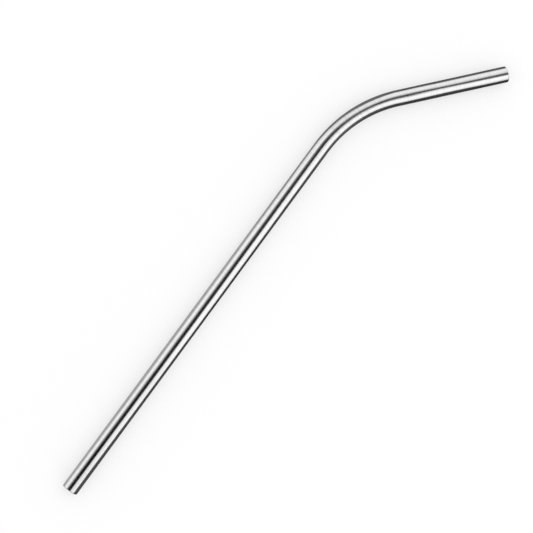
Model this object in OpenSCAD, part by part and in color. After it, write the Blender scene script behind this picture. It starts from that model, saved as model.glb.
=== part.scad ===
// Bent drinking straw: one drawn stainless steel tube, lying flat on its side.
// The lower arm runs along X, and the bend turns the upper arm towards -Y.

/* [Tube] */
// Outer diameter of the tube
tube_d = 6; // [5:0.1:12]
// Thickness of the tube's wall
wall_t = 0.5; // [0.3:0.05:0.8]

/* [Arms and bend] */
// Straight length of the lower arm, from its tip to the start of the bend
lower_l = 153; // [60:1:220]
// Straight length of the upper arm, from the end of the bend to its tip
upper_l = 42.5; // [15:0.5:90]
// Radius of the bend at the tube's centreline
bend_r = 49; // [20:0.5:90]
// Angle that the bend turns the upper arm away from the lower arm
bend_angle = 40.5; // [10:0.5:80]

/* [Tips] */
// Radius of the rounded outer edge of each tip
outer_lip_r = 0.3; // [0.05:0.05:0.5]
// Radius of the rounded inner edge of each tip
inner_lip_r = 0.15; // [0.05:0.05:0.3]
// Width of the flat ring between the two rounded edges, at the least
lip_flat = 0.05; // [0.02:0.01:0.1]

/* [Hidden] */
// Segments of every circle
$fn = 96;
steel = [0.76, 0.76, 0.77];

tube_r = tube_d / 2;
bore_r = tube_r - wall_t;

// Where the wall is too thin for both rounded edges, they shrink together
lip_share = min(1, (wall_t - lip_flat) / (outer_lip_r + inner_lip_r));
outer_lip = outer_lip_r * lip_share;
inner_lip = inner_lip_r * lip_share;

// How far the bend is turned past its end before it is cut square there, in degrees
spare_angle = 5;

// Reach of the straw along X and Y, counted from the centre of the bend.
// At the slanted tip the rounded edge takes lip_loss off the reach of a sharp one.
lip_loss = outer_lip * (sin(bend_angle) + cos(bend_angle) - 1);
low_x = -lower_l;
high_x = (bend_r + tube_r) * sin(bend_angle) + upper_l * cos(bend_angle) - lip_loss;
low_y = (bend_r - tube_r) * cos(bend_angle) - upper_l * sin(bend_angle) + lip_loss;
high_y = bend_r + tube_r;

// What is cut away to round an edge: a square corner less a quarter disc
module edge_cut(radius) {
    difference() {
        square(2 * radius);
        circle(radius);
    }
}

// Half section through the wall of a straight arm, with its rounded tip at the far end
module wall_section(length) {
    difference() {
        translate([bore_r, 0]) square([wall_t, length]);
        translate([tube_r - outer_lip, length - outer_lip]) edge_cut(outer_lip);
        translate([bore_r + inner_lip, length - inner_lip]) mirror([1, 0]) edge_cut(inner_lip);
    }
}

// Straight arm that stands on its inner end
module arm(length) {
    rotate_extrude() wall_section(length);
}

// Turns what it holds from the start of the bend to its end, about the centre of the bend
module at_bend_end() {
    rotate([0, 0, -bend_angle]) children();
}

// Block that holds everything past the bend's end
module past_end() {
    translate([bend_r - tube_d, -bend_r, -tube_d]) cube([2 * tube_d, bend_r, 2 * tube_d]);
}

// Bent stretch of tube about the origin, from the X axis clockwise to the bend's end
module bend() {
    difference() {
        rotate_extrude(angle = -bend_angle - spare_angle) translate([bend_r, 0]) difference() {
            circle(tube_r);
            circle(bore_r);
        }
        at_bend_end() past_end();
    }
}

// The whole tube, with its box centred over the origin and its underside at height 0
module straw() {
    color(steel) translate([-(low_x + high_x) / 2, -(low_y + high_y) / 2, tube_r]) rotate([0, 0, 90]) {
        translate([bend_r, 0, 0]) rotate([-90, 0, 0]) arm(lower_l);
        bend();
        at_bend_end() translate([bend_r, 0, 0]) rotate([90, 0, 0]) arm(upper_l);
    }
}

straw();
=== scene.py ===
# %% [markdown]
# # A bent drinking straw of polished stainless steel
#
# The object is a single piece of drawn tube, 6 mm across, with a long lower arm, one smooth bend
# and a short mouth arm. It lies flat on a pale floor. Nothing else belongs to it, so the whole
# lesson is about one good surface, the steel on it, and the studio that the steel mirrors.
#
# The imported model comes first. It is the fixed frame: metres, the straw's box centred over the
# origin, X along the lower arm towards the bend, Z up. Its box is kept.

# %% Load the imported model
import math

import bpy
import numpy as np
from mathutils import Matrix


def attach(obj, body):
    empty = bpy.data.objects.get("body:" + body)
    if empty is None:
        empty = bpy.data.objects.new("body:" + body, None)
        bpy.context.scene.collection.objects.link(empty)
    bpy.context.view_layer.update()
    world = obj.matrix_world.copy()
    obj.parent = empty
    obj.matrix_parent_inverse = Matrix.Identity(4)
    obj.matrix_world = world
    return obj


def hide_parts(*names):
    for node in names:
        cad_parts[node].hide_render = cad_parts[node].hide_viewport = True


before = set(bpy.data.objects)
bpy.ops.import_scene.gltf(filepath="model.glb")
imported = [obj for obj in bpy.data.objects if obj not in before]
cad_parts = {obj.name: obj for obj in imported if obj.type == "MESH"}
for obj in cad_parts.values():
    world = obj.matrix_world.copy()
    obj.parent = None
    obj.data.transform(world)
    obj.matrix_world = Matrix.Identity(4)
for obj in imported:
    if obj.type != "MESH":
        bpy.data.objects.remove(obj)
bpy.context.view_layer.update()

# %% [markdown]
# The camera is settled before anything is made, because it decides which detail is seen. It was
# found by fitting a pinhole camera to the outline of the straw: it hangs 0.46 m above the floor,
# looks almost straight down, and is rolled so that the lower arm rises to the right. A lens of
# 85 mm fits the outline best. The picture is square, so the sensor's width sets the view both ways.

# %% Camera
camera_data = bpy.data.cameras.new("camera")
camera_data.lens = 85.0
camera_data.sensor_width = 36.0
camera_data.clip_start = 0.01
camera_data.clip_end = 20.0
camera = bpy.data.objects.new("camera", camera_data)
camera.location = (-0.030311, 0.065789, 0.456437)
camera.rotation_euler = [math.radians(turn) for turn in (-1.4540, -7.6919, -53.4133)]
bpy.context.scene.collection.objects.link(camera)
bpy.context.scene.camera = camera
print("camera stands", round(camera.location.z, 3), "m above the floor")

# %% [markdown]
# The straw is a circle carried along a path, so the path is worked out first. It has three
# stretches: a straight one, an arc, and a straight one again. The same few sizes as in the CAD
# model give them. Every point of the path has a sideways direction, which points out of the bend,
# and the straw's own up is the world's Z, because the straw lies flat.

# %% The path of the tube
LOWER_LENGTH = 0.153
UPPER_LENGTH = 0.0425
BEND_RADIUS = 0.049
BEND_ANGLE = math.radians(40.5)
BEND_LENGTH = BEND_RADIUS * BEND_ANGLE
FULL_LENGTH = LOWER_LENGTH + BEND_LENGTH + UPPER_LENGTH
TUBE_RADIUS = 0.003
WALL = 0.0005
# Where the tube's axis enters the bend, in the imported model's frame
BEND_START = np.array([0.0435172, 0.01924996, TUBE_RADIUS])


def path_of(along):
    """Point and sideways direction of the path at a length along from the lower tip.

    The turn is (along - lower arm) / bend radius, held between nothing and the bend's angle. The
    point is the bend's start, plus what is left of the lower arm, plus the chord of the arc, which
    is radius * (sin turn, cos turn - 1), plus what has been covered of the upper arm.
    """
    turn = np.clip((along - LOWER_LENGTH) / BEND_RADIUS, 0.0, BEND_ANGLE)
    direction = np.stack([np.cos(turn), -np.sin(turn), np.zeros_like(turn)], axis=-1)
    sideways = np.stack([np.sin(turn), np.cos(turn), np.zeros_like(turn)], axis=-1)
    before = np.minimum(along - LOWER_LENGTH, 0.0)[..., None]
    after = np.maximum(along - LOWER_LENGTH - BEND_LENGTH, 0.0)[..., None]
    arc = BEND_RADIUS * (sideways - np.array([0.0, 1.0, 0.0]))
    return BEND_START + (before + after) * direction + arc, sideways


tips = path_of(np.array([0.0, FULL_LENGTH]))[0]
print("length along the path:", round(FULL_LENGTH * 1000, 1), "mm, tips at", tips.round(4).tolist())

# %% [markdown]
# The wall of a tube is one closed surface without any end: it runs along the outside, round the
# lip, back through the bore and round the other lip. That outline, drawn as length along the tube
# against distance from its axis, is the first parameter of the grid. The outer edge of a lip is
# rounded by 0.3 mm and the inner one by 0.15 mm. Next to a lip the rings stand closer, so that the
# smooth shading of the small curve doesn't spill onto the long wall. They also stand closer along
# the bend, where they have to follow its ripples.

# %% Outline of the wall
OUTER_LIP = 0.0003
INNER_LIP = 0.00015
# Distances from a lip's curve to the closer rings beside it
CLOSE_RINGS = np.array([0.0, 0.0001, 0.0003, 0.0006])
# Distance from a tip to the first of the evenly spaced rings, and from the bend to the nearest one
TIP_MARGIN = 0.0015
BEND_MARGIN = 0.001
# Rings of each stretch of the outside, of the bore, and of the curve of each edge
LOWER_RINGS = 152
BEND_RINGS = 127
UPPER_RINGS = 42
BORE_RINGS = 140
OUTER_LIP_RINGS = 8
INNER_LIP_RINGS = 5


def quarter(radius, steps):
    """Steps of a quarter circle, from a wall round to the flat of a lip.

    Way along = radius * sine of the turn. Way across = radius * (1 - cosine of the turn).
    """
    turn = np.linspace(0.0, np.pi / 2, steps + 1)[1:]
    return radius * np.sin(turn), radius * (1 - np.cos(turn))


def wall_outline():
    """Closed outline of the wall: length along the tube, and distance from its axis, in metres."""
    first = OUTER_LIP + CLOSE_RINGS
    last = (FULL_LENGTH - OUTER_LIP - CLOSE_RINGS)[::-1]
    bend_end = LOWER_LENGTH + BEND_LENGTH
    lower = np.linspace(TIP_MARGIN, LOWER_LENGTH - BEND_MARGIN, LOWER_RINGS)
    bend = np.linspace(LOWER_LENGTH, bend_end, BEND_RINGS)
    upper = np.linspace(bend_end + BEND_MARGIN, FULL_LENGTH - TIP_MARGIN, UPPER_RINGS)
    outside = np.concatenate([first, lower, bend, upper, last])
    bore = TUBE_RADIUS - WALL
    past, drop = quarter(OUTER_LIP, OUTER_LIP_RINGS)
    back, rise = quarter(INNER_LIP, INNER_LIP_RINGS)
    inside = np.linspace(FULL_LENGTH - INNER_LIP, INNER_LIP, BORE_RINGS)
    along = np.concatenate([
        outside,
        FULL_LENGTH - OUTER_LIP + past,
        (FULL_LENGTH - INNER_LIP + back)[::-1],
        inside,
        (INNER_LIP - back)[:-1],
        (OUTER_LIP - past)[::-1],
    ])
    away = np.concatenate([
        np.full(len(outside), TUBE_RADIUS),
        TUBE_RADIUS - drop,
        (bore + rise)[::-1],
        np.full(len(inside), bore),
        (bore + rise)[:-1],
        (TUBE_RADIUS - drop)[::-1],
    ])
    return along, away


outline_along, outline_away = wall_outline()
print("rings of the wall:", len(outline_along))

# %% [markdown]
# A tube that is bent without a core inside flattens a little: across the bend it measures about
# a hundredth less than its width, and it swells hardly at all the other way. The flattening
# fades in and out over a few millimetres. It is made by drawing the sideways part of each circle
# in, so the straw never grows past its own box. The steel on the inside of the bend is also pushed
# together there, and gathers into a row of shallow ripples, a hundredth of a millimetre deep. They
# are far too shallow to see as a shape, but a mirror shows them.

# %% The tube's surface
AROUND = 112
FLATTENING = 0.010
FLATTENING_FADE = 0.012
RIPPLE_LENGTH = 0.0028
RIPPLE_DEPTH = 0.00001
RIPPLE_FADE = 0.004
FIRST_RIPPLE = 0.1608


def in_bend(along, fade):
    """One in the bend and nothing on the arms, blended over a fade to either side of its ends.

    The blend is half a cosine wave at each end, and the two are multiplied.
    """
    enter = np.clip((along - LOWER_LENGTH + fade) / (2 * fade), 0.0, 1.0)
    leave = np.clip((LOWER_LENGTH + BEND_LENGTH + fade - along) / (2 * fade), 0.0, 1.0)
    return (0.5 - 0.5 * np.cos(np.pi * enter)) * (0.5 - 0.5 * np.cos(np.pi * leave))


def ripple(along, turns):
    """Depth of the ripples at places along the tube and at turns round it.

    Depth = greatest depth * fade at the bend's ends * wave * facing. The wave is (1 + cosine along
    the tube) / 2. The facing is (1 - cosine of the turn) / 2, squared, so the ripples stay on the
    inner side.
    """
    wave = 0.5 + 0.5 * np.cos(2 * np.pi * (along - FIRST_RIPPLE) / RIPPLE_LENGTH)
    facing = np.clip(0.5 - 0.5 * np.cos(turns), 0.0, 1.0) ** 2
    return RIPPLE_DEPTH * (in_bend(along, RIPPLE_FADE) * wave)[:, None] * facing


def tube_surface(along, away, turns):
    """Points of the wall over a grid of outline rings and turns round the tube.

    Distance = away - ripple. Point = path + distance * (narrowed cosine of the turn * sideways
    + sine of the turn * up), where narrowed means less the flattening.
    """
    centre, sideways = path_of(along)
    distance = away[:, None] - ripple(along, turns)
    narrowed = (1 - FLATTENING * in_bend(along, FLATTENING_FADE))[:, None] * np.cos(turns)
    flat = (distance * narrowed)[..., None] * sideways[:, None, :]
    tall = (distance * np.sin(turns))[..., None] * np.array([0.0, 0.0, 1.0])
    return centre[:, None, :] + flat + tall


turns = np.linspace(0.0, 2 * np.pi, AROUND, endpoint=False)
surface = tube_surface(outline_along, outline_away, turns)
print("grid of the wall:", surface.shape[:2])

# %% [markdown]
# The grid becomes a mesh. It wraps both ways, like a ring, so every edge has two faces and the
# bore is open from tip to tip. The corners of a face are counted so that it points out of the
# steel, and the volume proves it: it would come out negative if the faces pointed inwards.

# %% Grid to mesh


def wrapped_faces(rings, columns):
    """Four corners of every face of a grid that closes on itself both ways."""
    ring = np.arange(rings)[:, None]
    column = np.arange(columns)[None, :]
    next_ring = (ring + 1) % rings
    next_column = (column + 1) % columns
    corners = [ring * columns + column, ring * columns + next_column,
               next_ring * columns + next_column, next_ring * columns + column]
    return np.stack(corners, axis=-1).reshape(-1, 4)


def new_mesh(name, points, faces):
    """Object with a smooth mesh of the given points and faces, in the scene's collection."""
    mesh = bpy.data.meshes.new(name)
    mesh.from_pydata(points.reshape(-1, 3).tolist(), [], faces.tolist())
    mesh.polygons.foreach_set("use_smooth", np.ones(len(mesh.polygons), dtype=bool))
    mesh.update()
    made = bpy.data.objects.new(name, mesh)
    bpy.context.scene.collection.objects.link(made)
    return made


faces = wrapped_faces(*surface.shape[:2])
straw_wall = new_mesh("straw_wall", surface, faces)
corners = surface.reshape(-1, 3)[faces]
volume = np.einsum("ij,ij->i", corners[:, 0], np.cross(corners[:, 1], corners[:, 2])).sum() / 6
volume += np.einsum("ij,ij->i", corners[:, 0], np.cross(corners[:, 2], corners[:, 3])).sum() / 6
print("steel in the wall:", round(volume * 1e9, 1), "cubic mm")

# %% [markdown]
# Drawing and polishing mark a tube while it is still straight, and the marks then follow it through
# the bend. So each vertex keeps where it lay on the straight tube, in millimetres, and every pattern
# reads those numbers instead of its place in space. Two more numbers, from 0 to 1, say how far a
# vertex lies inside the bore, and how near it is to a tip.

# %% Numbers of the straight tube
# Distance from a tip within which the duller lip and its painted grey rim show, and over which they
# fade
TIP_FINISH_AND_RIM_SHADE = 0.0006
TIP_FADE = 0.0004


def keep_numbers(piece, name, values, kind="FLOAT", field="value"):
    """Attribute of a piece's vertices, filled from an array."""
    kept = piece.data.attributes.new(name, kind, "POINT")
    kept.data.foreach_set(field, values.astype(np.float32).ravel())


straight = np.stack(np.broadcast_arrays(
    outline_along[:, None],
    outline_away[:, None] * np.cos(turns),
    outline_away[:, None] * np.sin(turns)), axis=-1)
keep_numbers(straw_wall, "straight_tube", straight * 1000.0, "FLOAT_VECTOR", "vector")
inside_bore = np.clip((TUBE_RADIUS - OUTER_LIP - outline_away) / (WALL - OUTER_LIP), 0.0, 1.0)
keep_numbers(straw_wall, "bore_share", np.repeat(inside_bore, AROUND))
from_tip = np.minimum(outline_along, FULL_LENGTH - outline_along)
at_lip = np.clip((TIP_FINISH_AND_RIM_SHADE - from_tip) / TIP_FADE, 0.0, 1.0)
keep_numbers(straw_wall, "lip_share", np.repeat(at_lip, AROUND))
print("straight tube runs", straight[..., 0].min().round(4), "to", straight[..., 0].max().round(4), "m")

# %% [markdown]
# The finish is the polish of drawn tube that has run between belts: mirror-like, with very fine
# rings round it, and a fainter grain along it that drawing left. Neither is deep enough to change
# the shape. Where the rings lie thick the steel gives back a little less light, so they go into the
# colour, and more weakly into the roughness. The first cell holds the helpers that the patterns
# share: each pattern is a noise that reads the straight tube's numbers, stretched along or across.

# %% Steel
steel = bpy.data.materials.new("polished_steel")
steel.use_nodes = True
tree = steel.node_tree
shader = tree.nodes["Principled BSDF"]
shader.inputs["Metallic"].default_value = 1.0


def node(kind, place, **settings):
    """New node of the steel at a place in the editor, with its settings."""
    made = tree.nodes.new(kind)
    made.location = place
    for name, value in settings.items():
        setattr(made, name, value)
    return made


tube_place = node("ShaderNodeAttribute", (-1400, 0), attribute_name="straight_tube")


def stretched_noise(label, per_mm, detail, height):
    """Noise on the straight tube, with so many features to the millimetre along and across it."""
    mapping = node("ShaderNodeMapping", (-1150, height), label=label)
    mapping.inputs["Scale"].default_value = per_mm
    noise = node("ShaderNodeTexNoise", (-950, height), label=label)
    noise.inputs["Scale"].default_value = 1.0
    noise.inputs["Detail"].default_value = detail
    noise.inputs["Roughness"].default_value = 0.6
    tree.links.new(tube_place.outputs["Vector"], mapping.inputs["Vector"])
    tree.links.new(mapping.outputs["Vector"], noise.inputs["Vector"])
    return noise.outputs["Fac"]


def spread(source, low, high, place):
    """Maps the middle of a noise, 0.3 to 0.7, onto low to high."""
    ranged = node("ShaderNodeMapRange", place)
    ranged.inputs["From Min"].default_value = 0.3
    ranged.inputs["From Max"].default_value = 0.7
    ranged.inputs["To Min"].default_value = low
    ranged.inputs["To Max"].default_value = high
    tree.links.new(source, ranged.inputs["Value"])
    return ranged.outputs["Result"]


def ramp(source, start, end, low, high, place):
    """Smooth rise or fall from low at the start to high at the end, held beyond both."""
    ranged = node("ShaderNodeMapRange", place, interpolation_type="SMOOTHSTEP")
    for label, value in zip(("From Min", "From Max", "To Min", "To Max"), (start, end, low, high)):
        ranged.inputs[label].default_value = value
    tree.links.new(source, ranged.inputs["Value"])
    return ranged.outputs["Result"]


def combine(operation, first, second, place):
    """Math node over two outputs or numbers."""
    made = node("ShaderNodeMath", place, operation=operation)
    for socket, value in zip(made.inputs, (first, second)):
        if isinstance(value, float):
            socket.default_value = value
        else:
            tree.links.new(value, socket)
    return made.outputs["Value"]


rings = stretched_noise("polishing rings", (2.5, 0.12, 0.12), 4.0, 300)
grain = stretched_noise("drawn grain", (0.05, 7.0, 7.0), 3.0, 0)
clouds = stretched_noise("wear and wiping", (0.07, 0.25, 0.25), 2.0, -300)
print("patterns of the polish:", sum(made.bl_idname == "ShaderNodeTexNoise" for made in tree.nodes))

# %% [markdown]
# The ripples of the bend leave faint darker marks on it, one to each ripple, because the polishing
# belt rode over their valleys. A mark is the tip of a cosine that runs along the tube with the
# ripples' own spacing. It is strong on the inside of the bend and weaker on the outside, it fades out
# at the bend's ends, and slow noises shift it and change its strength, so that no two marks are
# quite the same. The outside of the bend was stretched instead, and is evenly duller.

# %% Where the marks lie
# Length along the tube, in millimetres, over which the marks come in and over which they leave
MARKS_COME = (155.0, 163.0)
MARKS_LEAVE = (176.0, 188.0)
# How far the noise moves a mark from its place, in millimetres
MARK_STRAY = 0.45
# The part of a wave, from -1 to 1 at its crest, above which it counts as a mark
MARK_START = 0.35

place_parts = node("ShaderNodeSeparateXYZ", (-1150, -900))
tree.links.new(tube_place.outputs["Vector"], place_parts.inputs["Vector"])
along_mm = place_parts.outputs["X"]
gaps = stretched_noise("uneven gaps", (0.35, 0.1, 0.1), 1.0, -1150)
waver = spread(gaps, -MARK_STRAY, MARK_STRAY, (-700, -1150))
past_first = combine("SUBTRACT", along_mm, FIRST_RIPPLE * 1000.0, (-950, -900))
wavered = combine("ADD", past_first, waver, (-500, -1000))
swing = combine("MULTIPLY", wavered, 2 * math.pi / (RIPPLE_LENGTH * 1000.0), (-340, -1000))
wave = combine("COSINE", swing, 0.0, (-180, -1000))
line = ramp(wave, MARK_START, 1.0, 0.0, 1.0, (0, -1000))
entering = ramp(along_mm, *MARKS_COME, 0.0, 1.0, (-700, -1400))
leaving = ramp(along_mm, *MARKS_LEAVE, 1.0, 0.0, (-700, -1600))
window = combine("MULTIPLY", entering, leaving, (-500, -1500))
print("first mark", FIRST_RIPPLE * 1000, "mm along, then one every", RIPPLE_LENGTH * 1000, "mm")

# %% How strong the marks are
# Share of their strength that the marks keep on the outside of the bend, and the even dullness there
OUTSIDE_MARKS = 0.65
OUTSIDE_DULLNESS = 0.3
# Places across the tube, in millimetres, between which the marks weaken and the dullness comes
MARKS_WEAKEN = (-1.0, 2.0)
DULLNESS_COMES = (0.0, 1.6)
# Strengths of the faintest and of the clearest marks
FITFUL = (0.1, 0.6)

across_mm = place_parts.outputs["Y"]
inner_side = ramp(across_mm, *MARKS_WEAKEN, 1.0, OUTSIDE_MARKS, (-700, -1800))
outer_side = ramp(across_mm, *DULLNESS_COMES, 0.0, OUTSIDE_DULLNESS, (-700, -2000))
dulled = combine("MULTIPLY", window, outer_side, (-340, -1900))
chance = stretched_noise("marks of uneven strength", (0.5, 0.2, 0.2), 0.0, -2300)
fitful = spread(chance, *FITFUL, (-700, -2300))
strength = combine("MULTIPLY", window, inner_side, (-340, -1500))
strength = combine("MULTIPLY", strength, fitful, (-180, -1500))
marks = combine("MULTIPLY", line, strength, (160, -1000))
marks = combine("ADD", marks, dulled, (320, -1100))
print("marks on the outside keep", OUTSIDE_MARKS, "of their strength")

# %% [markdown]
# Roughness says how soft the mirror images are. The polish sets it, and the three patterns make it
# a little uneven. The bore, the lips and the marks add to it: the bore was never polished, and the
# lips were rounded after the cut by tumbling, which leaves them a shade duller than the wall.

# %% Roughness of the steel
POLISHED_ROUGHNESS = 0.155
# What the rings, the grain and the clouds of wear take away or add
RINGS_CHANGE = (-0.009, 0.013)
GRAIN_CHANGES = (-0.006, 0.006)
CLOUDS_CHANGE = (-0.010, 0.016)
# What the bore, the lips and the marks add
BORE_ADDS = 0.2
LIP_ADDS = 0.06
MARK_ADDS = 0.05

uneven = spread(rings, *RINGS_CHANGE, (-700, 300))
uneven = combine("ADD", uneven, spread(grain, *GRAIN_CHANGES, (-700, 0)), (-500, 200))
uneven = combine("ADD", uneven, spread(clouds, *CLOUDS_CHANGE, (-700, -300)), (-340, 100))
bore_share = node("ShaderNodeAttribute", (-700, -550), attribute_name="bore_share").outputs["Fac"]
lip_share = node("ShaderNodeAttribute", (-700, -700), attribute_name="lip_share").outputs["Fac"]
duller = combine("MULTIPLY", bore_share, BORE_ADDS, (-500, -500))
duller_lip = combine("MULTIPLY", lip_share, LIP_ADDS, (-500, -700))
duller = combine("ADD", duller, duller_lip, (-340, -600))
duller = combine("ADD", duller, combine("MULTIPLY", marks, MARK_ADDS, (320, -900)), (-180, -600))
rough = combine("ADD", uneven, POLISHED_ROUGHNESS, (-180, 100))
rough = combine("ADD", rough, duller, (-20, 0))
tree.links.new(rough, shader.inputs["Roughness"])
print("roughness is about", POLISHED_ROUGHNESS, "and", POLISHED_ROUGHNESS + BORE_ADDS, "in the bore")

# %% [markdown]
# A metal's colour is the share of light that its mirror gives back, here a neutral grey. It is laid
# on in steps: first the polish, which is darker where the rings lie thick, then the marks of the
# bend, the lips, which are darker as a painted grey rim that stands for the darker surroundings
# their curve mirrors, and the unpolished bore, all of them darker than the polish.

# %% Colour of the steel


def mixed(factor, first, second, place):
    """Colour between two colours, by a factor. A colour may be numbers or another output."""
    blend = node("ShaderNodeMix", place, data_type="RGBA")
    tree.links.new(factor, blend.inputs["Factor"])
    for name, value in (("A", first), ("B", second)):
        if isinstance(value, tuple):
            blend.inputs[name].default_value = value
        else:
            tree.links.new(value, blend.inputs[name])
    return blend.outputs["Result"]


def grey(level):
    """Neutral colour of a level."""
    return (level, level, level, 1.0)


THICK_RINGS = grey(0.695)
BARE_POLISH = grey(0.815)
MARKED = grey(0.57)
# Painted grey rim: the lips are drawn darker to stand for the darker surroundings their curve mirrors
PAINTED_RIM_GREY = grey(0.60)
UNPOLISHED = grey(0.49)
colour = mixed(spread(rings, 0.0, 1.0, (-500, 520)), THICK_RINGS, BARE_POLISH, (-180, 420))
colour = mixed(marks, colour, MARKED, (0, 420))
# The lips get the painted grey rim, a painted dark reflection
colour = mixed(lip_share, colour, PAINTED_RIM_GREY, (90, 600))
colour = mixed(bore_share, colour, UNPOLISHED, (180, 420))
tree.links.new(colour, shader.inputs["Base Color"])
print("greys of the polish:", THICK_RINGS[0], "to", BARE_POLISH[0])

# %% [markdown]
# Rings and grain also tilt the surface, by next to nothing. A bump node does this: it takes the
# height of the two patterns together, and its distance is a fiftieth of a millimetre.

# %% Relief of the steel
RINGS_AGAINST_GRAIN = 0.6
RELIEF_STRENGTH = 0.12
RELIEF_HEIGHT = 0.00002

relief = combine("MULTIPLY", rings, RINGS_AGAINST_GRAIN, (-700, -800))
relief = combine("ADD", relief, grain, (-500, -800))
bump = node("ShaderNodeBump", (-180, -400))
bump.inputs["Strength"].default_value = RELIEF_STRENGTH
bump.inputs["Distance"].default_value = RELIEF_HEIGHT
tree.links.new(relief, bump.inputs["Height"])
tree.links.new(bump.outputs["Normal"], shader.inputs["Normal"])
print("nodes of the steel:", len(tree.nodes))

# %% [markdown]
# The wall is finished: it rides on the straw's one body, takes the place of the hidden CAD part,
# and takes the steel.

# %% The piece and the frame
straw_wall.data.materials.append(steel)
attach(straw_wall, "root")
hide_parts("straw")
print("triangles:", sum(len(face.vertices) - 2 for face in straw_wall.data.polygons))

# %% [markdown]
# The floor is plain and pale. Its own colour is a middle grey. What the lens and the mirror of the
# steel see of it gets the rest as its own glow, so that it reads as the white of the studio. The
# shadow under the straw lies in the part that the light makes, so it stays, but softer than on a
# floor of white paper.

# %% Floor


def seen_directly(own_tree, place):
    """One where the ray comes from the camera, from gloss or from glass, else nothing."""
    light_path = own_tree.nodes.new("ShaderNodeLightPath")
    light_path.location = place
    either = light_path.outputs["Is Camera Ray"]
    for step, name in enumerate(("Is Glossy Ray", "Is Transmission Ray")):
        larger = own_tree.nodes.new("ShaderNodeMath")
        larger.operation = "MAXIMUM"
        larger.location = (place[0] + 180 * (step + 1), place[1])
        own_tree.links.new(either, larger.inputs[0])
        own_tree.links.new(light_path.outputs[name], larger.inputs[1])
        either = larger.outputs["Value"]
    return either


FLOOR_SIZE = 4.0
FLOOR_GREY = 0.50
floor_points = np.array([[-1, -1, 0], [1, -1, 0], [1, 1, 0], [-1, 1, 0]]) * FLOOR_SIZE
floor = new_mesh("floor", floor_points, np.array([[0, 1, 2, 3]]))
pale = bpy.data.materials.new("pale_floor")
pale.use_nodes = True
floor_tree = pale.node_tree
floor_shader = floor_tree.nodes["Principled BSDF"]
floor_shader.inputs["Base Color"].default_value = grey(FLOOR_GREY)
floor_shader.inputs["Roughness"].default_value = 0.9
floor_shader.inputs["Specular IOR Level"].default_value = 0.0
floor_shader.inputs["Emission Color"].default_value = grey(1.0)
lift = floor_tree.nodes.new("ShaderNodeMath")
lift.operation = "MULTIPLY"
lift.inputs[1].default_value = 1.0 - FLOOR_GREY
floor_tree.links.new(seen_directly(floor_tree, (-800, 0)), lift.inputs[0])
floor_tree.links.new(lift.outputs["Value"], floor_shader.inputs["Emission Strength"])
floor.data.materials.append(pale)
print("floor:", 2 * FLOOR_SIZE, "m across")

# %% [markdown]
# The world is a plain pale tent. The lens and the steel see it as white, at a strength of 1. It
# lights the floor a little less strongly, because the lamps add their share.

# %% World
WORLD_LIGHT = 0.94
world = bpy.data.worlds.new("tent")
bpy.context.scene.world = world
world.use_nodes = True
world_tree = world.node_tree
background = world_tree.nodes["Background"]
background.inputs["Color"].default_value = grey(1.0)
level = world_tree.nodes.new("ShaderNodeMapRange")
level.inputs["To Min"].default_value = WORLD_LIGHT
level.inputs["To Max"].default_value = 1.0
world_tree.links.new(seen_directly(world_tree, (-900, 0)), level.inputs["Value"])
world_tree.links.new(level.outputs["Result"], background.inputs["Strength"])
print("world strength:", WORLD_LIGHT)

# %% [markdown]
# Two softboxes stand on either side of the lens and face the origin. Each is a large area lamp, so
# its light is soft, and its mirror image is part of one of the two bright stripes along the tube.

# %% Softboxes


def softbox(name, place, size, radiance):
    """Area lamp that faces the origin. Its power is radiance * area * pi: radiance 1 looks white."""
    lamp = bpy.data.lights.new(name, "AREA")
    lamp.shape = "RECTANGLE"
    lamp.size, lamp.size_y = size
    lamp.energy = radiance * size[0] * size[1] * math.pi
    holder = bpy.data.objects.new(name, lamp)
    holder.location = place
    pitch = math.acos(place[2] / np.linalg.norm(place))
    holder.rotation_euler = (pitch, 0.0, math.atan2(-place[1], -place[0]) - math.pi / 2)
    bpy.context.scene.collection.objects.link(holder)
    print(name, "power", round(lamp.energy, 2), "W")


softbox("right_softbox", place=(0.15, -0.65, 0.55), size=(1.3, 0.7), radiance=0.28)
softbox("left_softbox", place=(0.4, 0.8, 0.5), size=(2.4, 0.6), radiance=0.15)

# %% [markdown]
# Steel in a white tent would nearly vanish, so dark cards are set up around it, as is done for any
# mirror-like object. One hangs beside the lens and gives the dark line down the middle of the tube.
# Two lie along the straw, on either side, and give the dark lines along its edges. The cards only
# show in gloss: they throw no shadow, take no light away and stay out of the picture.
#
# One material serves all of them. It mixes a dim glow with plain clearness, and each card keeps
# both numbers at its own points, so one card can be darker in one place and fade out in another.

# %% Material of the cards
card_material = bpy.data.materials.new("dark_card")
card_material.use_nodes = True
card_tree = card_material.node_tree
card_tree.nodes.remove(card_tree.nodes["Principled BSDF"])
glow = card_tree.nodes.new("ShaderNodeEmission")
hole = card_tree.nodes.new("ShaderNodeBsdfTransparent")
blend = card_tree.nodes.new("ShaderNodeMixShader")
shade_at = card_tree.nodes.new("ShaderNodeAttribute")
shade_at.attribute_name = "shade"
clear_at = card_tree.nodes.new("ShaderNodeAttribute")
clear_at.attribute_name = "clear"
card_tree.links.new(shade_at.outputs["Fac"], glow.inputs["Strength"])
card_tree.links.new(clear_at.outputs["Fac"], blend.inputs["Fac"])
card_tree.links.new(glow.outputs["Emission"], blend.inputs[1])
card_tree.links.new(hole.outputs["BSDF"], blend.inputs[2])
card_tree.links.new(blend.outputs["Shader"], card_tree.nodes["Material Output"].inputs["Surface"])
print("nodes of the cards' material:", len(card_tree.nodes))

# %% Mesh of a card


def card(name, points, shades, clear):
    """Card over a grid of points, with a shade and a clearness at each of them, seen in gloss alone."""
    made = new_mesh(name, points, open_faces(*clear.shape))
    keep_numbers(made, "shade", shades)
    keep_numbers(made, "clear", clear)
    made.data.materials.append(card_material)
    made.visible_camera = False
    made.visible_diffuse = False
    made.visible_transmission = False
    made.visible_volume_scatter = False
    made.visible_shadow = False
    print(name, "has", len(made.data.polygons), "faces")


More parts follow.
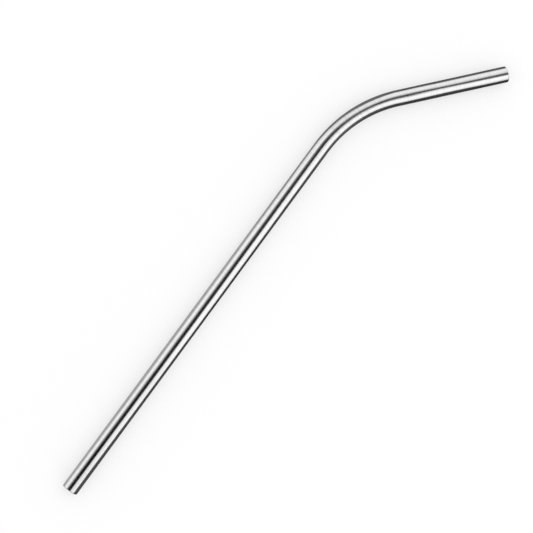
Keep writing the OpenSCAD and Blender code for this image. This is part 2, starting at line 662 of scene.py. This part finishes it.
def open_faces(rows, columns):
    """Four corners of every face of an open grid."""
    row = np.arange(rows - 1)[:, None]
    column = np.arange(columns - 1)[None, :]
    first = row * columns + column
    return np.stack([first, first + 1, first + columns + 1, first + columns], axis=-1).reshape(-1, 4)


# %% [markdown]
# Where must a card's edge be, for its image to lie at a chosen place on the tube? The mirror rule
# answers it. A ray from the lens meets the tube, leaves it as steeply as it came, and is followed
# to the height or the distance where the card is. So each card is laid out from angles round the
# tube. A table gives the angles at some lengths along the tube, and in between they change evenly.
# Angles above nothing are on the outside of the bend.

# %% The mirror rule
lens_place = np.array(camera.location)


def mirrored_ray(along, angle):
    """Start and way of the ray that leaves the tube at an angle, in degrees, from the way to the lens.

    The angle counts round the tube's direction, above nothing on the outside of the bend. The
    surface there is tilted by half of it. Way = ray - 2 * (ray . normal) * normal.
    """
    centre, sideways = path_of(along)
    up = np.array([0.0, 0.0, 1.0])
    to_lens = lens_place - centre
    lens_tilt = np.arctan2((to_lens * sideways).sum(-1), to_lens[..., 2])
    tilt = (lens_tilt + np.radians(angle) / 2)[..., None]
    normal = np.sin(tilt) * sideways + np.cos(tilt) * up
    start = centre + TUBE_RADIUS * normal
    ray = start - lens_place
    ray = ray / np.linalg.norm(ray, axis=-1, keepdims=True)
    return start, ray - 2 * (ray * normal).sum(-1, keepdims=True) * normal


def between(rows, steps):
    """Rows of a table at evenly spaced lengths along the tube, its columns interpolated."""
    along = np.linspace(rows[0, 0], rows[-1, 0], steps)
    return np.stack([along] + [np.interp(along, rows[:, 0], column) for column in rows.T[1:]], axis=-1)


print("the rays come from the lens at", lens_place.round(3).tolist())

# %% [markdown]
# The card beside the lens hangs 15 cm above the floor, and its image is the dark line down the
# middle of the tube. It fades quickly on the side of the inner stripe and slowly on the side of the
# outer one, so that line is crisp on one side and soft on the other. Each row of the table says
# where the line lies at one length along the tube.

# %% Card beside the lens
CARD_HEIGHT = 0.15
# Rows of the card's grid along the tube, and its points across the outer fade
LENS_LENGTHS = 116
FADE_STEPS = 9
# Length along the tube, then angles: middle and width of the inner fade, end of the dark, end of
# the outer fade. Last, how much light the dark still gives.
LENS_CARD = np.array([
    [-0.120, -16.5, 8.0, 22.0, 55.0, 0.008],
    [0.005, -16.0, 8.0, 22.0, 55.0, 0.008],
    [0.028, -18.5, 10.0, 19.0, 51.0, 0.010],
    [0.050, -23.0, 12.0, 14.0, 45.0, 0.011],
    [0.080, -23.0, 10.0, 13.0, 45.0, 0.018],
    [0.107, -19.5, 6.0, 14.0, 46.0, 0.025],
    [0.123, -18.0, 3.0, 17.0, 47.0, 0.026],
    [0.139, -14.3, 1.0, 19.0, 49.0, 0.040],
    [0.150, -12.5, 1.0, 21.0, 52.0, 0.030],
    [0.158, -16.5, 1.0, 18.0, 47.5, 0.040],
    [0.164, -13.5, 1.0, 14.5, 44.0, 0.072],
    [0.172, -5.8, 1.0, 11.0, 35.0, 0.090],
    [0.180, -13.0, 1.0, 9.5, 33.0, 0.024],
    [0.188, -20.0, 17.0, 16.5, 42.5, 0.060],
    [0.192, -12.5, 11.0, 18.5, 43.0, 0.063],
    [0.197, 3.5, 4.0, 21.5, 43.5, 0.068],
    [0.205, -1.8, 6.0, 13.0, 33.5, 0.052],
    [0.213, -6.7, 9.0, 11.0, 32.5, 0.051],
    [0.222, -13.2, 14.0, 11.0, 32.0, 0.066],
    [0.340, -13.2, 14.0, 11.0, 32.0, 0.066],
])
table = between(LENS_CARD, LENS_LENGTHS)
lengths, middle, width, dark_end, fade_end, dark_shade = table.T[:, :, None]
fade = np.linspace(0.0, 1.0, FADE_STEPS)
card_angles = np.concatenate([
    middle - width / 2, middle + width / 2, dark_end + (fade_end - dark_end) * fade], axis=1)
starts, ways = mirrored_ray(np.broadcast_to(lengths, card_angles.shape), card_angles)
reach = (CARD_HEIGHT - starts[..., 2]) / ways[..., 2]
lens_points = starts + reach[..., None] * ways
clear = np.tile(np.concatenate([[1.0, 0.0], fade]), (len(table), 1))
card("lens_card", lens_points, np.broadcast_to(dark_shade, clear.shape), clear)
print("it spans", np.ptp(lens_points[..., 0]).round(2), "by", np.ptp(lens_points[..., 1]).round(2), "m")

# %% [markdown]
# A card along the straw starts under the side of the tube, lies on the floor and stands up at its
# far edge, so it covers all that the side of the tube mirrors, from the floor up to a chosen angle.
# Right beside the tube a narrow strip of it is paler, like floor that catches some light. The lens
# doesn't see its image, but from a low angle it lightens the lower half of the tube. Over the far
# edge hangs a haze, which thins out upwards and makes the edge of the bright stripe less hard.

# %% Tables of the cards along the straw
# Length along the tube, angle of the card's far edge, shade there, shade beside the tube, and share
# of the light that the haze over the edge takes away
INNER_CARD = np.array([
    [-0.040, -75.0, 0.09, 0.07, 0.00],
    [0.012, -75.5, 0.09, 0.07, 0.00],
    [0.036, -85.0, 0.088, 0.068, 0.00],
    [0.075, -95.0, 0.050, 0.040, 0.00],
    [0.100, -95.0, 0.045, 0.035, 0.00],
    [0.115, -92.0, 0.06, 0.05, 0.00],
    [0.131, -89.0, 0.075, 0.06, 0.00],
    [0.147, -86.0, 0.095, 0.08, 0.00],
    [0.155, -90.0, 0.10, 0.09, 0.00],
    [0.164, -82.5, 0.12, 0.11, 0.08],
    [0.175, -75.7, 0.08, 0.07, 0.25],
    [0.188, -79.3, 0.052, 0.045, 0.25],
    [0.197, -77.0, 0.048, 0.045, 0.25],
    [0.205, -73.7, 0.053, 0.05, 0.25],
    [0.213, -76.8, 0.053, 0.05, 0.25],
    [0.222, -85.8, 0.034, 0.03, 0.25],
    [0.270, -85.8, 0.034, 0.03, 0.25],
])
OUTER_CARD = np.array([
    [-0.040, 93.0, 0.57, 0.43, 0.00],
    [0.005, 92.0, 0.57, 0.43, 0.00],
    [0.012, 88.5, 0.57, 0.43, 0.00],
    [0.036, 83.0, 0.55, 0.42, 0.00],
    [0.060, 83.5, 0.55, 0.42, 0.00],
    [0.100, 85.0, 0.55, 0.42, 0.00],
    [0.115, 92.0, 0.51, 0.38, 0.00],
    [0.139, 100.5, 0.38, 0.29, 0.00],
    [0.150, 107.5, 0.32, 0.25, 0.04],
    [0.157, 99.7, 0.24, 0.18, 0.08],
    [0.164, 96.6, 0.22, 0.175, 0.11],
    [0.173, 82.7, 0.205, 0.18, 0.12],
    [0.180, 81.2, 0.17, 0.16, 0.12],
    [0.188, 96.2, 0.12, 0.11, 0.10],
    [0.197, 96.3, 0.11, 0.10, 0.10],
    [0.205, 91.7, 0.12, 0.12, 0.10],
    [0.213, 93.0, 0.12, 0.115, 0.10],
    [0.222, 94.2, 0.12, 0.105, 0.10],
    [0.231, 94.2, 0.12, 0.105, 0.10],
])
print("rows in the tables:", len(INNER_CARD), "and", len(OUTER_CARD))

# %% Cards along the straw
# Distance from the tube to a card's far edge, and rows of its grid along the tube
CARD_DISTANCE = 0.03
CARD_LENGTHS = 90
# Distance from the tube's axis to the card's near edge, and its height over the floor
NEAR_EDGE = 0.0016
OVER_FLOOR = 0.0002
# The least height that the far edge has, so that the card never folds flat
LEAST_EDGE = 0.0003
# Shares of the way from the near edge to the foot of the far edge. Then the least shade there, at
# the far edge itself, and at the start and the end of the haze.
CARD_STEPS = np.array([0.0, 0.055, 0.12, 0.5, 1.0])
LEAST_SHADE = np.array([0.36, 0.32, 0.0, 0.0, 0.0, 0.0, 0.0, 0.0])
# Angle from the edge to the start of the haze, and angle at which the haze has gone
HAZE_START = 1.0
HAZE_END = 50.0
# Divisor for a ray that runs level or upwards, and so never meets the floor
NO_FALL = 1e-6


def card_place(along, angle):
    """Where the ray that leaves the tube at an angle meets the card's distance, or the floor first."""
    start, way = mirrored_ray(along, angle)
    outward = np.abs((way * path_of(along)[1]).sum(-1, keepdims=True))
    fall = np.maximum(-way[:, 2:3], NO_FALL)
    place = start + np.minimum(CARD_DISTANCE / outward, start[:, 2:3] / fall) * way
    place[:, 2] = np.maximum(place[:, 2], LEAST_EDGE)
    return place


def side_card(name, rows):
    """Card from under the side of the tube, out over the floor, up to its edge and on as a haze.

    A point on the floor is near edge + share * (foot - near edge), and the foot is straight under
    the far edge. The shade goes evenly from the one beside the tube to the one at the edge.
    """
    along, angle, edge_shade, near_shade, haze = between(rows, CARD_LENGTHS).T
    centre, sideways = path_of(along)
    side = np.sign(angle)
    edge = card_place(along, angle)
    haze_start = card_place(along, angle - HAZE_START * side)
    haze_end = card_place(along, HAZE_END * side)
    foot = edge * np.array([1.0, 1.0, 0.0]) + np.array([0.0, 0.0, OVER_FLOOR])
    near = centre + NEAR_EDGE * side[:, None] * sideways
    near[:, 2] = OVER_FLOOR
    points = near[:, None, :] + (foot - near)[:, None, :] * CARD_STEPS[:, None]
    points = np.concatenate([points, np.stack([edge, haze_start, haze_end], axis=1)], axis=1)
    weights = np.concatenate([CARD_STEPS, np.ones(3)])
    shade = near_shade[:, None] + (edge_shade - near_shade)[:, None] * weights
    shade = np.maximum(shade, LEAST_SHADE)
    clear = np.zeros(shade.shape)
    clear[:, -2] = 1.0 - haze
    clear[:, -1] = 1.0
    print(name, "rises to", (points[..., 2].max() * 1000).round(1), "mm")
    card(name, points, shade, clear)


side_card("inner_card", INNER_CARD)
side_card("outer_card", OUTER_CARD)

# %% [markdown]
# Towards the lower tip the bright stripe on the inside is a little greyer. A veil does this: a thin
# net that hangs above the inner card and takes about a tenth of the light that passes. It is laid
# out by the mirror rule too, and thins out to nothing along both of its long edges.

# %% Veil over the lower end
# Length of the rays from the tube to the veil, and rows of its grid along the tube
VEIL_DISTANCE = 3.0 * CARD_DISTANCE
VEIL_LENGTHS = 55
# Angles of the veil's threads along the tube, and how much each takes of what the veil takes
VEIL_ANGLES = np.array([-26.0, -40.0, -50.0, -62.0, -74.0])
VEIL_STRENGTH = np.array([0.0, 0.8, 1.0, 1.0, 0.0])
# Length along the tube, share of the light that passes
VEIL = np.array([
    [-0.060, 0.86],
    [0.005, 0.87],
    [0.025, 0.93],
    [0.042, 0.95],
    [0.051, 0.87],
    [0.060, 0.98],
    [0.075, 1.00],
])
table = between(VEIL, VEIL_LENGTHS)
passed = 1.0 - (1.0 - table[:, 1:2]) * VEIL_STRENGTH
veil_angles = np.broadcast_to(VEIL_ANGLES, passed.shape)
starts, ways = mirrored_ray(np.broadcast_to(table[:, :1], passed.shape), veil_angles)
card("veil", starts + VEIL_DISTANCE * ways, np.zeros(passed.shape), passed)
print("the veil passes", passed.min().round(2), "of the light at the least")

# %% [markdown]
# The view transform stays at Standard, so a colour renders as it is written.

# %% Finish
bpy.context.scene.view_settings.view_transform = "Standard"
